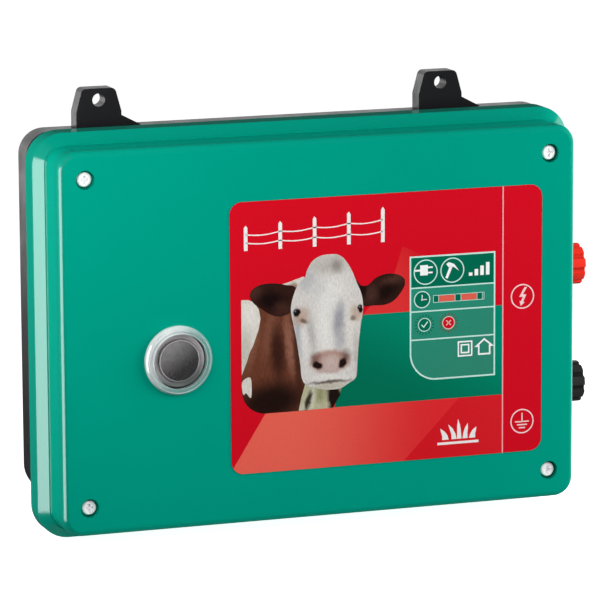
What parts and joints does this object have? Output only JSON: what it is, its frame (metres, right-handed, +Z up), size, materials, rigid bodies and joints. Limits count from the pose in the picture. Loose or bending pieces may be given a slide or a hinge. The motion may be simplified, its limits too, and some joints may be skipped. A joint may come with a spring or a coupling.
{
  "type": "fence energizer",
  "caption": "Wall-hung mains electric fence energizer: green screwed cover on a black rear housing with two lugs, a lamp lens and two side terminal knobs.",
  "frame": {"origin": "midway between the two wall screw holes, on the wall plane", "axes": "+Z up, +X to the right for a person facing the front, the front faces -Y and +Y points into the wall"},
  "size_m": [0.2802, 0.0574, 0.209],
  "materials": {
    "black_housing": "fine moulded texture, slight sheen",
    "green_cover": "smooth moulded teal green",
    "gasket_rubber": "matt",
    "screw_steel": "bright zinc plated",
    "label_foil": "printed foil",
    "clear_lens": "clear moulded polycarbonate",
    "lamp_grey": "satin grey",
    "smoked_disc": "smoked",
    "board_laminate": "solder mask",
    "green_led": "diffused epoxy",
    "red_led": "diffused epoxy",
    "capacitor_sleeve": "shrink sleeve",
    "capacitor_yellow": "potted box",
    "varistor_blue": "dipped epoxy",
    "fuse_glass": "glass tube with plated caps",
    "tinned_brass": "tinned",
    "chip_black": "moulded epoxy",
    "ceramic_white": "cemented ceramic",
    "sink_aluminium": "extruded",
    "terminal_block": "moulded polyamide",
    "core_steel": "varnished laminations",
    "bobbin_plastic": "moulded polyamide",
    "copper_wire": "enamelled copper",
    "winding_tape": "polyester tape",
    "bracket_steel": "zinc plated",
    "stud_steel": "stainless",
    "red_knob": "moulded",
    "black_knob": "moulded",
    "insert_brass": "turned",
    "red_lead": "silicone insulation",
    "black_lead": "silicone insulation",
    "grey_cable": "PVC"
  },
  "bodies": {
    "case": {"board_screws": "screw_steel", "cable_grommet": "gasket_rubber", "charging_resistors": "ceramic_white", "circuit_board": "board_laminate", "contact_washers": "stud_steel", "cord_clamp": "black_housing", "cord_clamp_screws": "screw_steel", "cover_gasket": "gasket_rubber", "cover_screws": "screw_steel", "diodes": "chip_black", "earth_lead": "black_lead", "earth_stud": "stud_steel", "fence_lead": "red_lead", "fence_stud": "stud_steel", "front_cover": "green_cover", "front_label": "label_foil", "fuse": "fuse_glass", "fuse_clips": "tinned_brass", "green_led": "green_led", "heat_sink": "sink_aluminium", "indicator_lens": "clear_lens", "lamp_board": "board_laminate", "lamp_cable": "grey_cable", "lamp_cup": "lamp_grey", "lamp_disc": "smoked_disc", "lens_retaining_ring": "black_housing", "lens_seal": "gasket_rubber", "mains_terminal_block": "terminal_block", "primary_leads": "black_lead", "primary_winding": "copper_wire", "rear_housing": "black_housing", "red_led": "red_led", "ring_tongues": "tinned_brass", "secondary_winding": "winding_tape", "storage_capacitor": "capacitor_sleeve", "stud_nuts": "stud_steel", "suppression_capacitor": "capacitor_yellow", "terminal_block_screws": "screw_steel", "thyristor": "chip_black", "timer_chip": "chip_black", "transformer_bobbin": "bobbin_plastic", "transformer_brackets": "bracket_steel", "transformer_core": "core_steel", "transformer_screws": "screw_steel", "varistor": "varistor_blue"},
    "fence_washer": {"fence_clamp_washer": "stud_steel"},
    "fence_knob": {"fence_knob": "red_knob", "fence_knob_insert": "insert_brass"},
    "earth_washer": {"earth_clamp_washer": "stud_steel"},
    "earth_knob": {"earth_knob": "black_knob", "earth_knob_insert": "insert_brass"}
  },
  "joints": [
    {"name": "fence_washer_slide", "type": "slide", "parent": "case", "child": "fence_washer", "axis": [1, 0, 0], "range_m": [0, 0.004]},
    {"name": "fence_knob_turn", "type": "hinge", "parent": "fence_washer", "child": "fence_knob", "pos_m": [0.1505, -0.013, -0.092], "axis": [1, 0, 0], "range_deg": [0, 1440]},
    {"name": "earth_washer_slide", "type": "slide", "parent": "case", "child": "earth_washer", "axis": [1, 0, 0], "range_m": [0, 0.004]},
    {"name": "earth_knob_turn", "type": "hinge", "parent": "earth_washer", "child": "earth_knob", "pos_m": [0.1505, -0.013, -0.1505], "axis": [1, 0, 0], "range_deg": [0, 1440]}
  ],
  "couplings": [
    {"joint": "fence_washer_slide", "follows": "fence_knob_turn", "m_per_rad": 0.00015915},
    {"joint": "earth_washer_slide", "follows": "earth_knob_turn", "m_per_rad": 0.00015915}
  ]
}
